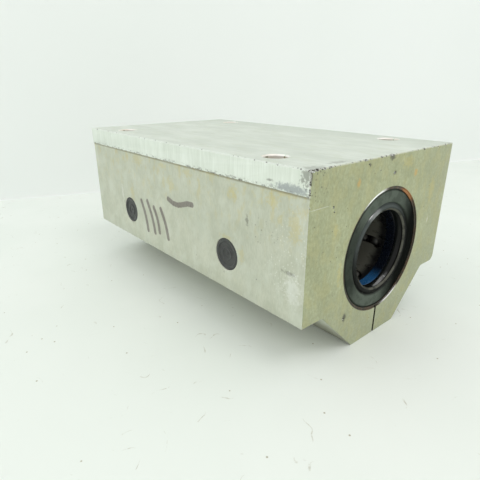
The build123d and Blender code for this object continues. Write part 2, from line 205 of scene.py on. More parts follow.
# %% Worn edge: near where two sides of a box meet
w, i, end = effect("worn edge", {"Position": "Vector", "Half Size": "Vector", "Width": "Float"}, "Mask")
inside = w.vector("SUBTRACT", i["Half Size"], w.vector("ABSOLUTE", i["Position"]))
x, y, z = w.parts(inside)
nearer = w.math("MINIMUM", x, y)
farther = w.math("MAXIMUM", x, y)
second = w.math("MAXIMUM", nearer, w.math("MINIMUM", farther, z))
ragged = w.math("MULTIPLY", w.noise(w.scaled(i["Position"], 1.3), 4.0, 0.7), 2.0)
w.put(end, w.fade(second, w.math("MULTIPLY", i["Width"], ragged), 0.0))

# %% Pen stroke: near the line between two points of a side face
w, i, end = effect("pen stroke", {
    "Position": "Vector", "From": "Vector", "To": "Vector", "Width": "Float"}, "Mask")
flat = (1.0, 0.0, 1.0)
start = w.vector("MULTIPLY", i["From"], flat)
line = w.vector("SUBTRACT", w.vector("MULTIPLY", i["To"], flat), start)
reach = w.vector("SUBTRACT", w.vector("MULTIPLY", i["Position"], flat), start)
along, whole = w.vector("DOT_PRODUCT", reach, line), w.vector("DOT_PRODUCT", line, line)
share = w.math("DIVIDE", along, whole, clamp=True)
away = w.vector("DISTANCE", reach, w.scaled(line, share))
wobble = w.math("MULTIPLY", w.math("SUBTRACT", w.noise(i["Position"], 3.0), 0.5), 0.5)
away = w.math("DIVIDE", w.math("ADD", away, wobble), i["Width"])
w.put(end, w.fade(away, 0.56, 0.40))

# %% [markdown]
# ## Starting a finish
# Every finish reads Object coordinates. The pieces keep their place in their mesh, so these are the block's
# own coordinates, and a stain can be put where it belongs. They are turned into millimetres once.

# %% Starting and ending a finish
FINISHES = {}


def start_finish(name):
    material = bpy.data.materials.new(name)
    material.use_nodes = True
    FINISHES[name] = material
    print("finish:", name)
    w = Wiring(material.node_tree)
    place = w.add("ShaderNodeTexCoord", out=3)
    return w, w.scaled(place, 1 / MM)


def end_finish(w, colour, roughness, metallic=0.0, height=None, depth=0.05 * MM, **constants):
    shader = w.tree.nodes["Principled BSDF"]
    w.put(shader.inputs["Base Color"], colour)
    w.put(shader.inputs["Roughness"], roughness)
    w.put(shader.inputs["Metallic"], metallic)
    for key, value in constants.items():
        shader.inputs[key.replace("_", " ")].default_value = value
    if height is not None:
        relief = w.tree.nodes.new("ShaderNodeBump")
        relief.inputs["Distance"].default_value = depth
        w.put(relief.inputs["Height"], height)
        w.put(shader.inputs["Normal"], relief.outputs[0])


def colour(red, green, blue):
    return (red, green, blue, 1.0)


def aluminium(w, position, pale, deep, length, coarse):
    """Grained metal with broad tarnish: returns its colour and its relief."""
    fine = w.mask("grain", Position=position, Length=length)
    broad = w.mask("grain", Position=position, Length=coarse)
    tone = w.math("ADD", w.math("MULTIPLY", fine, 0.6), w.math("MULTIPLY", broad, 0.55))
    return w.mix(w.fade(tone, 0.38, 0.80), deep, pale), fine


def patches(w, position, places, ragged):
    """A mask of ragged spots; each place is a centre and a reach, in millimetres."""
    return w.any_of([w.mask("patch", Position=position, Centre=centre, Reach=reach, Ragged=ragged)
                     for centre, reach in places])


def spots(w, position, base, shade, places, strength, ragged):
    """Lays ragged spots of one shade on a colour."""
    return w.tint(base, patches(w, position, places, ragged), strength, shade)


def worn_edges(w, position, base, width, strength):
    """Bares the metal along the block's edges, over a width in millimetres."""
    worn = w.mask("worn edge", Position=position, Half_Size=BLOCK_HALF, Width=width)
    return w.tint(base, worn, strength, BARE)


def from_axis(w, y, z):
    """The distance from the bore's axis."""
    return w.math("SQRT", w.math("ADD", w.math("MULTIPLY", y, y), w.math("MULTIPLY", z, z)))


# Shared tints, and the half sizes of the block in millimetres
STAIN = colour(0.57, 0.49, 0.18)
# The dark tint below is dirt in most places, and painted shade in the dents of the front end.
GRIME_AND_SHADE = colour(0.085, 0.08, 0.06)
BARE = colour(0.86, 0.88, 0.85)
BLOCK_HALF = (END_X / MM, HALF_Y / MM, TOP_Z / MM)

# %% [markdown]
# ## The mounting face
# A face mill ran along the block, so its lines are long and faint. Dull patches and small dents came later.

# %% Milled mounting face
w, position = start_finish("milled_face")
pale, deep = colour(0.72, 0.755, 0.69), colour(0.57, 0.61, 0.54)
tone, fine = aluminium(w, position, pale, deep, (9, 0.5, 2), (20, 9, 9))
dull = w.mask("blotches", Position=position, Size=(9, 5, 5), Level=0.56)
tone = w.tint(tone, dull, 0.35, colour(0.56, 0.60, 0.48))
dirt = w.mask("pits", Position=position, Spacing=5.0, Radius=0.35, Share=0.14)
tone = w.tint(tone, dirt, 0.6, GRIME_AND_SHADE)
tone = worn_edges(w, position, tone, 0.9, 0.6)
tone = spots(w, position, tone, GRIME_AND_SHADE, [((74, -40, 35), (3.5, 5, 2)), ((73, -28, 35), (2, 5, 2))], 0.35, 2.6)
y = w.parts(position)[1]
# Painted shade: the top darkens towards its far (+Y) edge.
tone = w.mix(w.fade(y, 16.0, 40.0, 0.0, 0.5), tone, colour(0.50, 0.545, 0.475))
rough = w.follow(fine, 0.36, 0.50)
end_finish(w, tone, rough, 0.45, w.math("ADD", fine, w.math("MULTIPLY", dirt, -0.8)), 0.03 * MM)

# %% [markdown]
# ## The reference edge
# The bright strip along the side was milled across, so its lines stand upright. Its lower edge has caught
# grime, and the front corner has been knocked and smeared.

# %% Reference edge
w, position = start_finish("reference_edge")
pale, deep = colour(0.82, 0.87, 0.80), colour(0.70, 0.75, 0.67)
tone, fine = aluminium(w, position, pale, deep, (0.5, 2, 12), (6, 5, 14))
z = w.parts(position)[2]
above = w.math("SUBTRACT", z, BAND_Z / MM)
grit = w.noise(w.vector("DIVIDE", position, (1.6, 1.0, 0.7)), 5.0, 0.7)
lower = w.math("MULTIPLY", w.fade(above, 1.5, 0.0), w.fade(grit, 0.50, 0.60))
tone = w.tint(tone, lower, 0.75, GRIME_AND_SHADE)
tone = spots(w, position, tone, colour(0.32, 0.35, 0.36), [((69, -43.5, 28.6), (9, 4, 1.9))], 0.8, 1.8)
smudges = [((74.6, -43.5, 32.8), (2.6, 4, 3.4)), ((60, -43.5, 29.8), (1.6, 4, 0.7))]
tone = spots(w, position, tone, GRIME_AND_SHADE, smudges, 0.55, 3.2)
tone = worn_edges(w, position, tone, 0.8, 0.5)
end_finish(w, tone, w.follow(fine, 0.34, 0.46), 0.5, w.math("SUBTRACT", fine, lower), 0.04 * MM)

# %% [markdown]
# ## The side as extruded
# The extrusion's skin is dull and a little green. Coolant has dried on it in yellow runs below the reference
# edge and round the plugs, and a marker pen left a mark, here a few plain slanting strokes and a short wave.

# %% Raw side
w, position = start_finish("raw_side")
pale, deep = colour(0.585, 0.607, 0.503), colour(0.474, 0.500, 0.396)
tone, fine = aluminium(w, position, pale, deep, (0.6, 0.6, 2.0), (7, 6, 9))
patchy = w.mask("blotches", Position=position, Size=(7, 7, 10), Level=0.54)
tone = w.tint(tone, patchy, 0.35, colour(0.63, 0.67, 0.58))
x, y, z = w.parts(position)
marked_side = w.math("LESS_THAN", y, 0.0)
runs = w.mask("blotches", Position=position, Size=(2.6, 4, 5), Level=0.57)
runs = w.both(runs, w.fade(z, 2.0, 26.0, 0.03, 0.40), marked_side)
tone = w.mix(runs, tone, STAIN)
stains = [
    ((-27, -43, 24.5), (6, 3, 3)), ((-5, -43, 24.8), (4, 3, 1.4)), ((14, -43, 24.6), (4, 3, 2)),
    ((1, -43, 17.7), (3, 3, 4)), ((42, -43, 22.4), (3, 3, 3.2)), ((61, -43, 23.4), (4, 3, 3)),
    ((66, -43, 26.4), (8, 3, 0.9)), ((71, -43, 17), (3.5, 3, 7)), ((64.5, -43, 18), (1.6, 3, 2)),
    ((38, -43, 4.7), (4, 3, 1.3)), ((46.5, -43, 0.5), (2, 3, 3.4)), ((-35, -43, 7.5), (2.4, 3, 5))]
tone = spots(w, position, tone, STAIN, stains, 0.34, 3.0)
dirt = w.mask("pits", Position=position, Spacing=1.3, Radius=0.35, Share=0.5)
scuffed = w.mask("patch", Position=position, Centre=(57, -43, 11), Reach=(11, 3, 7), Ragged=1.6)
tone = w.tint(tone, w.both(dirt, scuffed), 0.45, GRIME_AND_SHADE)
smudges = [((49.3, -43, 13.9), (1.0, 3, 2.2)), ((69, -43, 1.5), (3.5, 3, 0.9))]
tone = spots(w, position, tone, GRIME_AND_SHADE, smudges, 0.5, 2.4)
tone = spots(w, position, tone, BARE, [((71, -43, -4), (4, 3, 7)), ((-46, -43, 5), (1.4, 3, 5))], 0.30, 2.8)
pitted = w.mask("pits", Position=position, Spacing=6.0, Radius=0.40, Share=0.10)
tone = w.tint(tone, pitted, 0.45, GRIME_AND_SHADE)
salt = w.mask("pits", Position=position, Spacing=0.9, Radius=0.34, Share=0.45)
frosted = w.mask("patch", Position=position, Centre=(69, -43, 4), Reach=(14, 3, 21), Ragged=1.4)
tone = w.tint(tone, w.both(salt, frosted), 0.35, BARE)
# Painted shade: the lower flanks, under the shoulders, darken towards the floor.
tone = w.mix(w.fade(z, -15.5, -32.0, 0.0, 0.6), tone, colour(0.18, 0.17, 0.125))
# Painted shadow: a thin dark line on the marked side just below the reference edge's step.
line = w.both(w.fade(w.math("SUBTRACT", BAND_Z / MM, z), 1.1, 0.5), marked_side)
tone = w.tint(tone, line, 0.45, colour(0.16, 0.12, 0.05))
# Each slanting stroke has its left end, top, drop and lean, and bows a little
STROKES = ((-26.5, 5.0, 13.5, 4.6), (-20.6, 6.0, 14.0, 5.4), (-14.8, 4.2, 11.0, 3.8), (-8.6, 4.8, 12.5, 5.0))
PEN_WIDTH, BOW, STEPS = 2.35, 0.9, 4
lines = [[(left + lean * k / STEPS + BOW * sin(pi * k / STEPS), top - drop * k / STEPS)
          for k in range(STEPS + 1)] for left, top, drop, lean in STROKES]
lines.append([(-1.5 + 3.6 * k, 11.0 - 1.3 * sin(pi * k / 3.2)) for k in range(6)])
ink = w.any_of([w.mask("pen stroke", Position=position, From=(x1, 0, z1), To=(x2, 0, z2), Width=PEN_WIDTH)
                for points in lines for (x1, z1), (x2, z2) in zip(points, points[1:])])
ink = w.both(ink, marked_side, w.fade(fine, 0.28, 0.6, 0.92, 0.72))
tone = w.mix(ink, tone, colour(0.155, 0.125, 0.12))
tone = worn_edges(w, position, tone, 0.6, 0.45)
relief = w.math("ADD", fine, w.math("MULTIPLY", w.math("ADD", dirt, pitted), -0.4))
end_finish(w, tone, w.follow(fine, 0.46, 0.60), 0.25, relief, 0.05 * MM)

# %% [markdown]
# ## The sawn ends
# The ends were cut off by a saw and never cleaned. They are darker and more olive than the sides, with
# upright streaks, a few pits and a scratch.

# %% Sawn ends
w, position = start_finish("sawn_end")
pale, deep = colour(0.488, 0.525, 0.332), colour(0.342, 0.370, 0.220)
tone, fine = aluminium(w, position, pale, deep, (1.2, 0.7, 1.6), (9, 7, 10))
x, y, z = w.parts(position)
greyer = w.math("ADD", w.fade(z, 0.0, -30.0, 0.0, 0.5), w.fade(y, 10.0, 42.0, 0.0, 0.35))
tone = w.mix(greyer, tone, colour(0.40, 0.43, 0.31))
cloudy = w.mask("blotches", Position=position, Size=(6, 4, 7), Level=0.53)
tone = w.tint(tone, cloudy, 0.45, colour(0.47, 0.46, 0.235))
mottle = w.noise(w.vector("DIVIDE", position, (1.1, 1.1, 1.1)), 5.0, 0.75)
tone = w.mix(w.fade(mottle, 0.35, 0.65), w.mix(0.30, tone, colour(0.22, 0.22, 0.12)), tone)
stains = [
    ((76, 10, 31), (3, 5, 3)), ((76, -30, 14), (3, 1.6, 3)), ((76, 31, 18), (3, 3, 6)),
    ((-76, 18, 24), (3, 3, 6)), ((-76, -24, 20), (3, 2, 5)), ((76, -26, -2), (3, 1.2, 6)),
    ((-76, 30, -3), (3, 2, 7))]
tone = spots(w, position, tone, STAIN, stains, 0.32, 2.8)
rust_spots = [((76, -19.9, 27.9), (3, 1.3, 1.9)), ((76, 16.2, 26.5), (3, 1.5, 1.9))]
tone = spots(w, position, tone, colour(0.60, 0.38, 0.11), rust_spots, 0.6, 1.8)
pitted = w.mask("pits", Position=position, Spacing=3.6, Radius=0.32, Share=0.16)
corner = w.mask("patch", Position=position, Centre=(76, -41, 31), Reach=(4, 8, 9), Ragged=1.8)
tone = w.tint(tone, pitted, 0.6, GRIME_AND_SHADE)
speckled = w.mask("pits", Position=position, Spacing=1.4, Radius=0.42, Share=0.5)
tone = w.tint(tone, w.both(speckled, corner), 0.55, GRIME_AND_SHADE)
# Painted shade: dark spots in the dents of the front end.
dent_shade = [
    ((76, -20.6, -20.4), (3, 1.3, 2.1)), ((76, -1.5, 34.2), (3, 2.6, 1.5)), ((76, 1.2, 28.5), (3, 1.3, 0.9)),
    ((76, -43.3, 33.0), (3, 0.9, 2.6)), ((76, -14.5, 33.0), (3, 0.6, 0.9))]
tone = spots(w, position, tone, GRIME_AND_SHADE, dent_shade, 0.75, 1.2)
bare = [((76, 31.9, 5.1), (3, 0.8, 1.6)), ((76, -38.5, 23.2), (3, 6, 0.2))]
tone = spots(w, position, tone, BARE, bare, 0.3, 1.0)
tone = worn_edges(w, position, tone, 0.55, 0.5)
relief = w.math("ADD", fine, w.math("MULTIPLY", pitted, -0.8))
end_finish(w, tone, w.follow(fine, 0.48, 0.62), 0.25, relief, 0.08 * MM)

# %% [markdown]
# ## Cut and broken metal
# Bores and screw holes are turned or drilled, so their lines run round and they reflect more; painted shade
# darkens the bores towards their mouths. Where the block has been knocked, the aluminium is bare and rough,
# with painted shade in its dark flecks. The slit below the bore is full of old oil.

# %% Bored holes and fresh nicks
w, position = start_finish("bored_metal")
pale, deep = colour(0.97, 0.96, 0.93), colour(0.72, 0.66, 0.56)
tone, fine = aluminium(w, position, pale, deep, (9, 9, 0.5), (9, 9, 3))
x = w.parts(position)[0]
# Painted shade: the bores turn dark towards their mouths at the end faces.
mouth = w.fade(w.math("ABSOLUTE", x), 74.7, 75.2)
tone = w.mix(mouth, tone, colour(0.055, 0.045, 0.033))
end_finish(w, tone, w.masked(mouth, 0.30, 0.6), w.masked(mouth, 0.55, 0.3), fine, 0.02 * MM)

w, position = start_finish("bare_nick_with_painted_shade")
crumbly = w.noise(w.scaled(position, 2.2), 5.0, 0.7)
# Painted shade: the dark flecks stand for shade inside the nicks; the pale ones are bare metal.
tone = w.mix(w.fade(crumbly, 0.46, 0.62), colour(0.10, 0.095, 0.07), colour(0.84, 0.87, 0.83))
end_finish(w, tone, w.fade(crumbly, 0.4, 0.6, 0.55, 0.34), 0.6, crumbly, 0.15 * MM)

w, position = start_finish("clogged_slit")
oily = w.mask("grain", Position=position, Length=(3.0, 1.0, 0.8))
tone = w.mix(oily, colour(0.010, 0.009, 0.007), colour(0.040, 0.036, 0.026))
end_finish(w, tone, 0.8, 0.0, oily, 0.05 * MM, Specular_IOR_Level=0.1)

# %% [markdown]
# ## Rubber, plastic and steel
# The seals are satin rubber with a faint film of oil and dust. Plugs and cages are moulded plastic, the end
# rings are blue, and the load plates and balls are ground steel.

# %% Seal rubber
w, position = start_finish("seal_rubber")
x, y, z = w.parts(position)
radius = from_axis(w, y, z)
flat_face = w.fade(radius, 17.3, 18.2)
film = w.mask("blotches", Position=position, Size=(5, 5, 5), Level=0.46)
dust = w.mask("pits", Position=position, Spacing=2.2, Radius=0.13, Share=0.20)
# Painted shade: the flat face darkens towards +Y, and partly towards -Y; the film varies it.
across = w.fade(w.math("SUBTRACT", y, w.math("MULTIPLY", z, 0.25)), 17.0, 2.0)
left = w.fade(w.math("DIVIDE", y, radius), -0.55, -0.95, 1.0, 0.36)
film_and_painted_light = w.both(across, flat_face, w.masked(film, 0.75, 1.0), left)
tone = w.mix(film_and_painted_light, colour(0.007, 0.008, 0.007), colour(0.106, 0.127, 0.105))
upper = w.fade(w.math("ADD", z, w.math("MULTIPLY", y, -0.4)), 2.0, 16.0)
lit = w.both(w.fade(radius, 15.0, 16.5), w.fade(radius, 18.0, 17.2), upper)
tone = w.mix(lit, tone, colour(0.065, 0.078, 0.074))
lip = w.both(w.fade(w.math("ABSOLUTE", x), 74.9, 75.1), w.fade(radius, 15.9, 15.4))
tone = w.tint(tone, lip, w.masked(film, 0.25, 0.6), colour(0.15, 0.15, 0.12))
tone = w.tint(tone, dust, 0.35, colour(0.20, 0.21, 0.19))
# Painted shade: the outer rim of the face turns dark.
tone = w.mix(w.fade(radius, 21.7, 22.4, 0.0, 0.7), tone, colour(0.012, 0.012, 0.010))
grain = w.noise(w.scaled(position, 2.4), 4.0)
shader = w.tree.nodes["Principled BSDF"]
oily = patches(w, position, [
    ((75.2, -8.0, 15.4), (3, 5.0, 3.6)), ((-75.2, 8.0, 15.4), (3, 5.0, 3.6)),
    ((73.0, 3.5, -15.2), (2.5, 7, 3)), ((-73.0, -3.5, -15.2), (2.5, 7, 3))], 0.6)
shine = w.math("ADD", w.math("MULTIPLY", oily, 0.9), 0.08)
w.put(shader.inputs["Coat Weight"], w.both(shine, w.masked(flat_face, 1.0, 0.0)))
end_finish(w, tone, 0.5, 0.0, grain, 0.02 * MM, Specular_IOR_Level=0.0, Coat_Roughness=0.14, Coat_IOR=2.4)

# %% Moulded plastic of the plugs, with lint on it
w, position = start_finish("plug_plastic")
grain = w.noise(w.scaled(position, 4.0), 4.0)
cloud = w.mask("blotches", Position=position, Size=(3, 3, 3), Level=0.52)
tone = w.tint(colour(0.030, 0.032, 0.031), cloud, 0.6, colour(0.052, 0.056, 0.052))
lint = w.mask("pits", Position=position, Spacing=1.8, Radius=0.15, Share=0.16)
tone = w.tint(tone, lint, 0.7, colour(0.55, 0.55, 0.50))
end_finish(w, tone, w.follow(grain, 0.42, 0.56), 0.0, grain, 0.03 * MM)

# %% Blue end rings, with painted shade that darkens them towards +Y
w, position = start_finish("blue_plastic")
y = w.parts(position)[1]
grain = w.noise(w.scaled(position, 2.0), 4.0)
# Painted shade: the rings turn near black towards +Y, with a ragged border.
painted_light_mask = w.fade(w.math("ADD", y, w.math("MULTIPLY", grain, 3.0)), 11.5, 5.0)
tone = w.mix(painted_light_mask, colour(0.004, 0.006, 0.011), colour(0.020, 0.105, 0.25))
end_finish(w, tone, w.follow(grain, 0.18, 0.30), 0.0, grain, 0.02 * MM, Specular_IOR_Level=0.3)

# %% Cages and sleeves: black plastic with a film of grease, and painted light that pales it deeper than about 11 mm from the end faces
w, position = start_finish("greasy_plastic_with_painted_light")
x = w.parts(position)[0]
smear = w.noise(w.vector("DIVIDE", position, (6, 3, 3)), 4.0)
depth = w.math("ADD", w.math("SUBTRACT", END_X / MM, w.math("ABSOLUTE", x)), w.math("MULTIPLY", smear, 3.0))
# Painted light: the plastic turns grey deeper inside, where light reaches the wall.
painted_light_deep = w.fade(depth, 11.0, 14.5)
tone = w.mix(painted_light_deep, colour(0.008, 0.008, 0.008), colour(0.125, 0.125, 0.10))
end_finish(w, tone, w.follow(smear, 0.24, 0.40), 0.0, smear, 0.04 * MM)

# %% Seal case: pressed steel, rusty where it shows, with painted highlights on its rim
w, position = start_finish("rusty_case")
x, y, z = w.parts(position)
crust = w.mask("blotches", Position=position, Size=(2.2, 2.2, 2.2), Level=0.50)
RIM_DEPTH, RIM_RAGGED = 3.0, 0.5


def rim_arcs(places):
    """Where the rim lies near any of some points of the two end faces."""
    return patches(w, position, [(centre, (RIM_DEPTH, reach, reach)) for centre, reach in places], RIM_RAGGED)


rusted = rim_arcs([((75.5, 13, 19.3), 7), ((-75.5, -12, -20), 8)])
# Painted highlights: near-white crescents at the upper left and lower right of the rims.
painted_highlight = rim_arcs([((75.5, -8.5, 21.6), 8.5), ((75.5, 9, -21.5), 7.5), ((-75.5, 8, 21.8), 7.5)])
flakes = w.mask("pits", Position=position, Spacing=0.9, Radius=0.42, Share=0.6)
rusted = w.both(rusted, w.masked(flakes, 0.9, 0.15))
rust = w.math("MAXIMUM", w.math("MULTIPLY", crust, 0.12), rusted)
tone = w.mix(rust, colour(0.055, 0.050, 0.038), colour(0.42, 0.17, 0.045))
radius = from_axis(w, y, z)
outermost = w.fade(radius, 23.35, 23.5, 0.0, 0.7)
painted_highlight = w.both(painted_highlight, w.math("MAXIMUM", w.fade(z, -4.0, 4.0), outermost))
tone = w.mix(painted_highlight, tone, colour(0.97, 0.98, 0.96))
dull = w.math("MAXIMUM", rusted, painted_highlight)
end_finish(w, tone, w.masked(dull, 0.36, 0.6), w.masked(dull, 0.8, 0.1), crust, 0.03 * MM)

# %% Ground steel for plates and balls, blackened steel for screws
w, position = start_finish("ground_steel")
ground = w.mask("grain", Position=position, Length=(6, 0.4, 0.4))
oil_and_shade = w.mask("blotches", Position=position, Size=(5, 3, 3), Level=0.52)
# Painted shade: the steel is kept very dark, as shade inside the bushings; oil blotches vary it.
tone = w.mix(w.masked(oil_and_shade, 0.3, 0.8), colour(0.09, 0.09, 0.083), colour(0.04, 0.038, 0.032))
end_finish(w, tone, w.follow(ground, 0.50, 0.64), 1.0, ground, 0.01 * MM)

w, position = start_finish("blackened_steel")
scaly = w.noise(w.scaled(position, 1.6), 4.0)
worn = w.fade(scaly, 0.52, 0.66)
tone = w.mix(worn, colour(0.045, 0.045, 0.05), colour(0.32, 0.30, 0.27))
end_finish(w, tone, w.follow(scaly, 0.34, 0.50), 0.9, scaly, 0.03 * MM)

# %% [markdown]
# ## A block that has been knocked about
# The CAD block is perfect, so a copy of it is worn: a Bevel softens its edges, and a cutter made of many
# small crumbled lumps takes nicks out of them with one Boolean. Its faces then get a finish each.

# %% Copying and placing meshes
WELD = 0.002 * MM
SAME_PLANE = radians(0.5)


def piece_from_mesh(name, mesh):
    made = bpy.data.objects.new(name, mesh)
    bpy.context.scene.collection.objects.link(made)
    return made


def solid_copy(node):
    """A CAD node's mesh with its loose triangles joined up and its flat faces whole again."""
    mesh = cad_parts[node].data.copy()
    form = bmesh.new()
    form.from_mesh(mesh)
    bmesh.ops.remove_doubles(form, verts=form.verts, dist=WELD)
    bmesh.ops.dissolve_limit(form, angle_limit=SAME_PLANE, verts=form.verts, edges=form.edges)
    form.to_mesh(mesh)
    form.free()
    mesh.materials.clear()
    return mesh


def evaluated_mesh(thing):
    """The object's mesh with its modifiers applied, as a plain mesh."""
    graph = bpy.context.evaluated_depsgraph_get()
    return bpy.data.meshes.new_from_object(thing.evaluated_get(graph))


# %% Nicks: where they are and how big, in millimetres
chance = random.Random(7)
half = Vector(BLOCK_HALF)


def nicks_along(start, end, count, reach, crowd=1.0):
    """Seeded nicks along an edge; a crowd above 1 gathers them near its start."""
    made = []
    for _ in range(count):
        share = chance.random() ** crowd
        size = chance.uniform(0.45, 1.0)
        stretch = Vector(chance.uniform(0.6, 1.5) for _ in range(3))
        made.append((Vector(start).lerp(Vector(end), share), stretch * reach * size))
    return made


top_front_left = (half.x, -half.y, half.z)
nicks = nicks_along(top_front_left, (half.x, half.y, half.z), 46, 0.75, 1.5)
nicks += nicks_along(top_front_left, (half.x, -half.y, BAND_Z / MM), 12, 0.6)
nicks += nicks_along((half.x, -half.y + 0.4, BAND_Z / MM), (half.x, -half.y + 0.4, -16), 9, 0.42, 1.4)
nicks += nicks_along(top_front_left, (-half.x, -half.y, half.z), 26, 0.45, 1.3)
nicks += nicks_along((half.x, -half.y, BAND_Z / MM), (-half.x, -half.y, BAND_Z / MM), 30, 0.42)
nicks += nicks_along((-half.x, -half.y, half.z), (-half.x, half.y, half.z), 16, 0.55)
nicks += nicks_along((half.x, half.y, half.z), (-half.x, half.y, half.z), 18, 0.45)
nicks += nicks_along((half.x, -half.y, -16), (half.x, -half.y + 9, -16), 6, 0.5)
placed = [
    ((76, -1.7, 35), (1.0, 2.2, 0.9)), ((76, -43.3, 34.9), (1.3, 1.3, 1.1)),
    ((76, -40.6, 35), (1.2, 1.0, 0.9)), ((76, -37.4, 35), (1.0, 0.8, 0.7)),
    ((76, 1.0, 28.5), (0.5, 0.7, 0.6)), ((76, -15.2, 33.3), (0.4, 0.45, 0.4)),
    ((76, -32.0, 22.4), (0.45, 0.45, 0.6)), ((76, -31.5, 20.8), (0.4, 0.4, 0.4)),
    ((76, -21.1, -20.6), (0.4, 0.45, 1.1)), ((76, -8.0, 30.5), (0.4, 0.35, 0.35))]
nicks += [(Vector(point), Vector(reach)) for point, reach in placed]
print(len(nicks), "nicks")


# %% One crumbled cutter for all of them
def crumbled_cutter():
    """Rough lumps, one at each nick, joined as one object; noise shifted by the nick's number shapes each."""
    form = bmesh.new()
    for number, (point, reach) in enumerate(nicks):
        lump = bmesh.ops.create_icosphere(form, subdivisions=2, radius=1.0)["verts"]
        for vertex in lump:
            swell = 0.78 + 0.5 * noise.noise(vertex.co * 1.7 + Vector((number * 3.1, 0, 0)))
            scaled = Vector(a * b for a, b in zip(vertex.co * swell, reach))
            vertex.co = (point + scaled) * MM
    mesh = bpy.data.meshes.new("nick_cutter")
    form.to_mesh(mesh)
    form.free()
    mesh.materials.append(FINISHES["bare_nick_with_painted_shade"])
    return piece_from_mesh("nick_cutter", mesh)


# %% Cutting, softening and sorting the block's faces
BLOCK_FINISHES = ("raw_side", "sawn_end", "milled_face", "reference_edge", "bored_metal", "rusty_case",
                  "bare_nick_with_painted_shade", "clogged_slit")
SOFT_EDGE = 0.14 * MM
NEAR_END = 0.4 * MM
NEAR_TOP = 0.4 * MM
NEAR_BAND = 0.5 * MM
SLIT_HALF = 0.7 * MM
BORE_REACH = BORE_R + 0.42 * MM


def finish_of_face(mesh, face):
    """Which finish a face of the block has, from where it lies and which way it looks."""
    n = face.normal
    points = [mesh.vertices[k].co for k in face.vertices]
    radius = max(Vector((p.y, p.z)).length for p in points)
    lowest = min(p.z for p in points)
    if min(abs(p.x) for p in points) > END_X - NEAR_END and abs(n.x) > 0.3:
        return "sawn_end" if radius > BORE_REACH else "rusty_case"
    if max(abs(p.y) for p in points) < SLIT_HALF:
        return "clogged_slit"
    if radius < BORE_REACH or 0.02 < abs(n.x) < 0.98:
        return "bored_metal"
    if n.z > 0.7 and lowest > TOP_Z - NEAR_TOP:
        return "milled_face"
    if n.y < -0.5 and lowest > BAND_Z - NEAR_BAND:
        return "reference_edge"
    return "raw_side"


def is_flat_side(normal):
    """Whether a face looks straight along an axis or straight out of a flank."""
    ways = [(1, 0, 0), (0, 1, 0), (0, 0, 1), (0, 0.7071, 0.7071), (0, 0.7071, -0.7071)]
    return any(abs(normal.dot(Vector(way))) > 0.99998 for way in ways)


def worn_block():
    """Softens, nicks and paints a copy of the block; normals left from CAD would shade it in fans."""
    block = piece_from_mesh("worn_block", solid_copy("housing"))
    for name in BLOCK_FINISHES:
        block.data.materials.append(FINISHES[name])
    block.data.shade_smooth()
    soften = block.modifiers.new("soften", "BEVEL")
    soften.width, soften.segments = SOFT_EDGE, 2
    soften.limit_method, soften.angle_limit = "ANGLE", radians(50)
    cutter = crumbled_cutter()
    cut = block.modifiers.new("nicks", "BOOLEAN")
    cut.operation, cut.object, cut.solver = "DIFFERENCE", cutter, "EXACT"
    cut.use_self = True
    cut.material_mode = "TRANSFER"
    mesh = evaluated_mesh(block)
    block.modifiers.clear()
    block.data = mesh
    bpy.data.objects.remove(cutter)
    stale = mesh.attributes.get("custom_normal")
    print("normals kept from the CAD mesh:", stale is not None)
    if stale:
        mesh.attributes.remove(stale)
    slots = {name: index for index, name in enumerate(BLOCK_FINISHES)}
    broken = next(k for k, m in enumerate(mesh.materials) if m.name == "bare_nick_with_painted_shade")
    counts = {}
    for face in mesh.polygons:
        if face.material_index != broken:
            face.material_index = slots[finish_of_face(mesh, face)]
        counts[face.material_index] = counts.get(face.material_index, 0) + 1
        face.use_smooth = not is_flat_side(face.normal)
    mesh.set_sharp_from_angle(angle=radians(40))
    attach(block, "housing")
    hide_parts("housing")
    print("block faces:", {mesh.materials[k].name: count for k, count in counts.items()})
    return block


worn_block()

# %% [markdown]
# ## Turned pieces
# Seals and plugs are round, so each is a lathe: an outline of points along the axis and out from it, spun
# about the axis with enough steps for a clean highlight.

# %% Lathe
SAME_POINT = 0.0005 * MM


def lathe(name, outline, centre, axis, finish, replaced, steps, body="housing"):
    """Spins (along, out) points in millimetres about an axis, and puts the piece in place."""
    axis = Vector(axis)
    out = Vector((0, 0, 1))
    side = axis.cross(out)
    form = bmesh.new()
    rings = []
    for step in range(steps):
        turn = tau * step / steps
        around = out * cos(turn) + side * sin(turn)
        rings.append([form.verts.new(Vector(centre) + (axis * a + around * r) * MM) for a, r in outline])
    count = len(outline)
    for k in range(steps):
        here, there = rings[k], rings[(k + 1) % steps]
        for p in range(count):
            q = (p + 1) % count
            form.faces.new((here[p], here[q], there[q], there[p]))
    bmesh.ops.remove_doubles(form, verts=form.verts, dist=SAME_POINT)
    bmesh.ops.recalc_face_normals(form, faces=form.faces)
    mesh = bpy.data.meshes.new(name)
    form.to_mesh(mesh)
    form.free()
    mesh.materials.append(FINISHES[finish])
    mesh.shade_smooth()
    mesh.set_sharp_from_angle(angle=radians(35))
    made = piece_from_mesh(name, mesh)
    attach(made, body)
    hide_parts(replaced)
    print(name, "spun from", count, "points in", steps, "steps")


def arc(centre, radius, start, end, steps):
    """Points of an arc in the outline's plane; angles in degrees from the axis towards outwards."""
    a, r = centre
    angles = [radians(start + (end - start) * k / steps) for k in range(steps + 1)]
    return [(a + radius * cos(t), r + radius * sin(t)) for t in angles]


# %% Lip seals
seal_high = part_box("front_seal_rubber")[1]
SEAL_FACE = seal_high.x / MM
SHAFT_R = 15.0
RUBBER_R = seal_high.z / MM
BEAD = 1.15


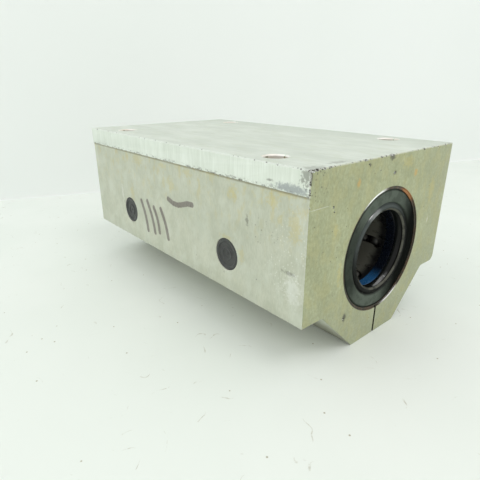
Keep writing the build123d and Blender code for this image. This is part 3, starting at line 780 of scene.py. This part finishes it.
def seal_outline():
    """Round the section of the rubber, starting at the outer rim of its face."""
    rim = [(-0.45, RUBBER_R), (-0.16, RUBBER_R - 0.25), (0.0, RUBBER_R - 0.7)]
    face = [(0.02 + 0.12 * sin(pi * k / 8), RUBBER_R - 1.1 - 3.4 * k / 8) for k in range(9)]
    groove = [(-0.05, 18.0), (-0.42, 17.80), (-0.62, 17.60), (-0.56, 17.42)]
    bead = arc((-1.0, 16.15), BEAD, 68, -52, 16)
    lip = [(-0.42, SHAFT_R + 0.02), (-0.62, SHAFT_R)]
    hollow = [(-0.72, SHAFT_R + 0.15), (-1.0, SHAFT_R + 0.7), (-1.35, SHAFT_R + 0.75), (-2.0, SHAFT_R + 0.42)]
    inner = [(-2.7, SHAFT_R + 0.06), (-3.45, SHAFT_R), (-3.56, SHAFT_R + 0.9)]
    back = [(-2.9, 17.6), (-2.83, 18.3), (-2.83, RUBBER_R)]
    return rim + face + groove + bead + lip + hollow + inner + back


for side, way in (("front", 1), ("rear", -1)):
    centre = (way * SEAL_FACE * MM, 0, 0)
    lathe(f"{side}_lip_seal", seal_outline(), centre, (way, 0, 0), "seal_rubber",
          f"{side}_seal_rubber", 192)
print("lip seals at", round(SEAL_FACE, 2))

# %% Port plugs: a cap with a rim, a dish, a ring and a pip
plug_low, plug_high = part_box("front_port_plug")
PLUG_R = (plug_high.x - plug_low.x) / 2 / MM
PLUG_DEEP = (plug_high.y - plug_low.y) / MM


def plug_outline():
    """From the middle of the face outwards, down the skirt and back inside; along is into the block."""
    pip = [(0.16, 0.0), (0.14, 0.35), (0.24, 0.50)]
    dish = [(0.36, 0.62), (0.40, 1.0), (0.38, 1.9)]
    ring = [(0.30, 2.05), (0.14, 2.22), (0.12, 2.42), (0.16, 2.62), (0.34, 2.78)]
    floor = [(0.38, 3.2), (0.38, 4.25), (0.34, 4.6)]
    rim = [(0.12, 4.80), (0.02, 4.98), (0.0, 5.2), (0.0, PLUG_R - 0.35), (0.05, PLUG_R - 0.15)]
    skirt = [(0.25, PLUG_R - 0.02), (0.5, PLUG_R), (PLUG_DEEP - 0.4, PLUG_R), (PLUG_DEEP, PLUG_R - 0.4)]
    inside = [(PLUG_DEEP, PLUG_R - 1.3), (1.8, PLUG_R - 1.3), (1.6, PLUG_R - 1.6), (1.6, 0.0)]
    return pip + dish + ring + floor + rim + skirt + inside


for side, port in PORTS.items():
    centre = (port.x, SIDE_Y, port.z)
    lathe(f"{side}_ribbed_plug", plug_outline(), centre, (0, 1, 0), "plug_plastic",
          f"{side}_port_plug", 96)
print("plugs", round(PLUG_R * 2, 2), "across")

# %% [markdown]
# ## Finishes on the CAD pieces that stay
# These pieces have the right shape already, so only their material slots change.

# %% Finishes on CAD pieces
KEPT = {
    "seal_case": "rusty_case", "cage": "greasy_plastic_with_painted_light", "sleeve": "greasy_plastic_with_painted_light",
    "locating_screw": "blackened_steel",
    "outer_end_ring": "blue_plastic", "inner_end_ring": "blue_plastic", "adjusting_screw": "blackened_steel",
    "load_plate": "ground_steel", "balls": "ground_steel"}
for name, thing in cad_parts.items():
    finish = next((KEPT[key] for key in KEPT if key in name), None)
    if finish:
        thing.data.materials.clear()
        thing.data.materials.append(FINISHES[finish])
        print(name, "in", finish)

# %% [markdown]
# ## Balls and knurls by Geometry Nodes
# Repeated things come from two node tools. One puts a ball on every mark of a mesh; the marks are the centres
# of the CAD balls. The other sets ridges round the head of a screw. Each result is kept as a plain mesh.

# %% A Geometry Nodes tool and its use
def node_tool(name, inputs):
    """Starts a Geometry Nodes group with named inputs; returns its wiring, input sockets and end."""
    tree = bpy.data.node_groups.new(name, "GeometryNodeTree")
    tree.interface.new_socket(name="Geometry", in_out="INPUT", socket_type="NodeSocketGeometry")
    for title, kind in inputs.items():
        tree.interface.new_socket(name=title, in_out="INPUT", socket_type=f"NodeSocket{kind}")
    tree.interface.new_socket(name="Geometry", in_out="OUTPUT", socket_type="NodeSocketGeometry")
    start = tree.nodes.new("NodeGroupInput")
    end = tree.nodes.new("NodeGroupOutput")
    return Wiring(tree), {s.name: s for s in start.outputs if s.name}, end.inputs[0]


def finish_tool(w, instances, material, end):
    """Ends a tool: real geometry, one material, smooth shading."""
    realised = w.add("GeometryNodeRealizeInstances", (instances,))
    smooth = w.add("GeometryNodeSetShadeSmooth", (realised,))
    painted = w.tree.nodes.new("GeometryNodeSetMaterial")
    w.put(painted.inputs["Geometry"], smooth)
    w.put(painted.inputs["Material"], material)
    w.put(end, painted.outputs[0])


def run_tool(w, name, mesh, values, body, replaced=None):
    """Runs a tool on a mesh with named values, and keeps the result as one plain piece of a body."""
    made = piece_from_mesh(name, mesh)
    modifier = made.modifiers.new("tool", "NODES")
    modifier.node_group = w.tree
    names = {item.name: item.identifier for item in w.tree.interface.items_tree if item.in_out == "INPUT"}
    for key, value in values.items():
        modifier[names[key]] = value
    baked = evaluated_mesh(made)
    made.modifiers.clear()
    made.data = baked
    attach(made, body)
    if replaced:
        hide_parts(replaced)
    print(name, "has", len(baked.polygons), "faces")


# %% Balls on marks
ball_tool, i, end = node_tool("balls on marks", {
    "Radius": "Float", "Around": "Int", "Up": "Int", "Material": "Material"})
sphere = ball_tool.tree.nodes.new("GeometryNodeMeshUVSphere")
for title, key in (("Segments", "Around"), ("Rings", "Up"), ("Radius", "Radius")):
    ball_tool.put(sphere.inputs[title], i[key])
spread = ball_tool.tree.nodes.new("GeometryNodeInstanceOnPoints")
ball_tool.put(spread.inputs["Points"], i["Geometry"])
ball_tool.put(spread.inputs["Instance"], sphere.outputs[0])
finish_tool(ball_tool, spread.outputs[0], i["Material"], end)


def ball_marks(node):
    """The centres of a node's balls as a mesh of loose points, and the balls' radius."""
    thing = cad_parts[node]
    form = bmesh.new()
    form.from_mesh(thing.data)
    bmesh.ops.remove_doubles(form, verts=form.verts, dist=WELD)
    seen, centres, radius = set(), [], 0.0
    for first in form.verts:
        if first in seen:
            continue
        ball, edge = [], [first]
        seen.add(first)
        while edge:
            vertex = edge.pop()
            ball.append(thing.matrix_world @ vertex.co)
            for link in vertex.link_edges:
                other = link.other_vert(vertex)
                if other not in seen:
                    seen.add(other)
                    edge.append(other)
        ends = [(min(c[k] for c in ball), max(c[k] for c in ball)) for k in range(3)]
        centres.append([sum(pair) / 2 for pair in ends])
        radius = max(radius, max(b - a for a, b in ends) / 2)
    form.free()
    mesh = bpy.data.meshes.new(node + "_marks")
    mesh.from_pydata(centres, [], [])
    return mesh, radius


total = 0
for side in ("front", "rear"):
    for kind in ("loaded", "return", "turn"):
        node = f"{side}_{kind}_balls"
        marks, radius = ball_marks(node)
        total += len(marks.vertices)
        body = "housing" if kind == "turn" else node
        values = {"Radius": radius, "Around": 20, "Up": 10, "Material": FINISHES["ground_steel"]}
        run_tool(ball_tool, f"{side}_{kind}_ball_set", marks, values, body, node)
print(total, "balls of radius", round(radius / MM, 3))

# %% Knurled screw heads
knurl_tool, i, end = node_tool("ridges round a head", {
    "Count": "Int", "Radius": "Float", "Length": "Float", "Ridge": "Float", "Centre": "Vector", "Seed": "Int",
    "Material": "Material"})
ring = knurl_tool.tree.nodes.new("GeometryNodeMeshCircle")
knurl_tool.put(ring.inputs["Vertices"], i["Count"])
knurl_tool.put(ring.inputs["Radius"], i["Radius"])
ridge = knurl_tool.tree.nodes.new("GeometryNodeMeshCylinder")
for title, value in (("Vertices", 6), ("Radius", i["Ridge"]), ("Depth", i["Length"])):
    knurl_tool.put(ridge.inputs[title], value)
wear = knurl_tool.tree.nodes.new("FunctionNodeRandomValue")
for socket, value in ((wear.inputs["Seed"], i["Seed"]), (wear.inputs[2], 0.75), (wear.inputs[3], 1.0)):
    knurl_tool.put(socket, value)
scale = knurl_tool.tree.nodes.new("ShaderNodeCombineXYZ")
for socket, value in zip(scale.inputs, (wear.outputs[1], wear.outputs[1], 1.0)):
    knurl_tool.put(socket, value)
spread = knurl_tool.tree.nodes.new("GeometryNodeInstanceOnPoints")
for title, node in (("Points", ring), ("Instance", ridge), ("Scale", scale)):
    knurl_tool.put(spread.inputs[title], node.outputs[0])
turned = knurl_tool.tree.nodes.new("GeometryNodeTransform")
knurl_tool.put(turned.inputs["Geometry"], spread.outputs[0])
knurl_tool.put(turned.inputs["Translation"], i["Centre"])
turned.inputs["Rotation"].default_value = (pi / 2, 0, 0)
finish_tool(knurl_tool, turned.outputs[0], i["Material"], end)

HEAD_R, HEAD_HEIGHT = 3.5 * MM, 4.0 * MM
RIDGE_R, RIDGE_COUNT, PLAIN_ENDS = 0.17 * MM, 44, 1.0 * MM
for side in ("front", "rear"):
    node = f"{side}_adjusting_screw"
    head_low, head_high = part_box(node)
    axis_point = (head_low + head_high) / 2
    centre = Vector((axis_point.x, head_low.y + HEAD_HEIGHT / 2, axis_point.z))
    values = {"Count": RIDGE_COUNT, "Radius": HEAD_R, "Length": HEAD_HEIGHT - PLAIN_ENDS, "Ridge": RIDGE_R,
              "Centre": centre, "Seed": 5, "Material": FINISHES["blackened_steel"]}
    empty = bpy.data.meshes.new(f"{side}_knurl_marks")
    run_tool(knurl_tool, f"{side}_knurled_head", empty, values, node)

# %% [markdown]
# ## Floor, light and camera
# The block lies on a pale table in a bright, even room, with a lamp overhead and a window at the left. The
# camera stands off its front corner and looks down a little.

# %% Table and wall
WALL_FOOT = Vector((-214, 0, 0)) * MM
WALL_ALONG = Vector((0.33, 0.944, 0)).normalized()
WALL_IN = WALL_ALONG.cross(Vector((0, 0, 1)))
WALL_HALF, WALL_TOP, WALL_SUNK, TABLE_DEPTH = 3.0, 2.5, 0.02, 5.0
WALL_GAP = 1.2 * MM


def sheet(name, corners, finish):
    mesh = bpy.data.meshes.new(name)
    mesh.from_pydata(corners, [], [(0, 1, 2, 3)])
    mesh.materials.append(FINISHES[finish])
    piece_from_mesh(name, mesh)


w, position = start_finish("pale_table")
cloud = w.noise(w.scaled(position, 0.012), 3.0)
tone = w.mix(w.fade(cloud, 0.35, 0.65), colour(0.785, 0.830, 0.785), colour(0.815, 0.853, 0.812))
line_field = w.noise(w.scaled(position, 0.06), 2.0, 0.4)
thin = w.fade(w.math("ABSOLUTE", w.math("SUBTRACT", line_field, 0.5)), 0.006, 0.002)
sparse = w.mask("blotches", Position=position, Size=(6, 6, 6), Level=0.63)
marks = w.both(thin, sparse, 0.6)
crumbs = w.mask("pits", Position=position, Spacing=5.0, Radius=0.42, Share=0.22)
tone = w.mix(w.math("MAXIMUM", marks, w.math("MULTIPLY", crumbs, 0.8)), tone, colour(0.34, 0.31, 0.20))
end_finish(w, tone, 0.6)

w, position = start_finish("pale_wall")
cloud = w.noise(w.scaled(position, 0.004), 2.0)
tone = w.mix(w.fade(cloud, 0.35, 0.65), colour(0.83, 0.87, 0.845), colour(0.85, 0.885, 0.865))
end_finish(w, tone, 0.7)

far, near = WALL_FOOT + WALL_ALONG * WALL_HALF, WALL_FOOT - WALL_ALONG * WALL_HALF
floor, sunk, top = Vector((0, 0, FLOOR_Z)), Vector((0, 0, WALL_SUNK)), Vector((0, 0, WALL_TOP))
gap, out = WALL_IN * WALL_GAP, WALL_IN * TABLE_DEPTH
table = [near + gap + floor, near + out + floor, far + out + floor, far + gap + floor]
sheet("table_top", table, "pale_table")
sheet("wall", [near + floor - sunk, far + floor - sunk, far + top, near + top], "pale_wall")

# %% Light
world = bpy.data.worlds.new("soft_room")
bpy.context.scene.world = world
world.use_nodes = True
sky = world.node_tree.nodes["Background"]
sky.inputs["Color"].default_value = colour(0.955, 0.95, 0.94)
sky.inputs["Strength"].default_value = 1.07


def soft_light(name, place, aim, size, power):
    light = bpy.data.lights.new(name, "AREA")
    light.shape, light.size, light.energy = "DISK", size, power
    lamp = bpy.data.objects.new(name, light)
    lamp.location = place
    lamp.rotation_euler = (Vector(aim) - Vector(place)).to_track_quat("-Z", "Y").to_euler()
    bpy.context.scene.collection.objects.link(lamp)
    print(name, "light of", power, "W")


soft_light("overhead", (0.55, 0.02, 0.86), (0, 0, 0), 0.34, 1.1)
soft_light("left_window", (-0.25, -0.90, 1.00), (0, 0, 0), 0.9, 2.5)

# %% Camera
camera_data = bpy.data.cameras.new("camera")
camera_data.lens = 30.73
camera_data.clip_start = 0.01
HEADING, TILT = radians(139.419), radians(20.913)
PLACE = Vector((147.63, -130.41, 57.16))
camera = bpy.data.objects.new("camera", camera_data)
look = Vector((cos(HEADING) * cos(TILT), sin(HEADING) * cos(TILT), -sin(TILT)))
camera.location = PLACE * MM
camera.rotation_euler = look.to_track_quat("-Z", "Y").to_euler()
bpy.context.scene.collection.objects.link(camera)
bpy.context.scene.camera = camera
bpy.context.scene.view_settings.view_transform = "Standard"
print("camera", [round(v) for v in PLACE], "mm from the middle of the bore")
